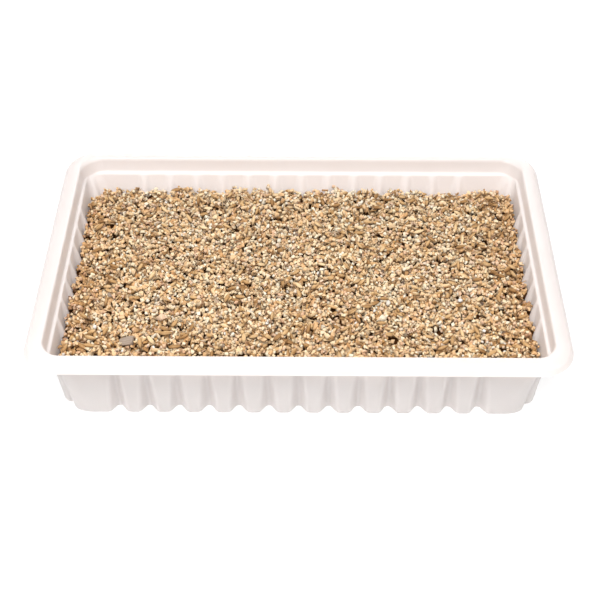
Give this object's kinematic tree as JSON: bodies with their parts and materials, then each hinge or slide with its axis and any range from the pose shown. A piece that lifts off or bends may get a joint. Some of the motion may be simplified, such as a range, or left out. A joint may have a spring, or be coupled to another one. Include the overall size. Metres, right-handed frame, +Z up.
{
  "type": "sown wheatgrass tray",
  "caption": "Rectangular white thermoformed tray with fluted walls and a rolled rim, filled with crumbly vermiculite that has wheat grains strewn through it.",
  "frame": {"origin": "on the table, under the middle of the tray's foot", "axes": "+X along the long side, +Y to the back, +Z up"},
  "size_m": [0.265, 0.18, 0.0444],
  "materials": {
    "white_plastic": "glossy thermoformed sheet",
    "vermiculite": "dry crumbly granules with wheat grains"
  },
  "bodies": {
    "root": {"tray": "white_plastic", "sown_vermiculite_bed": "vermiculite"}
  },
  "joints": []
}
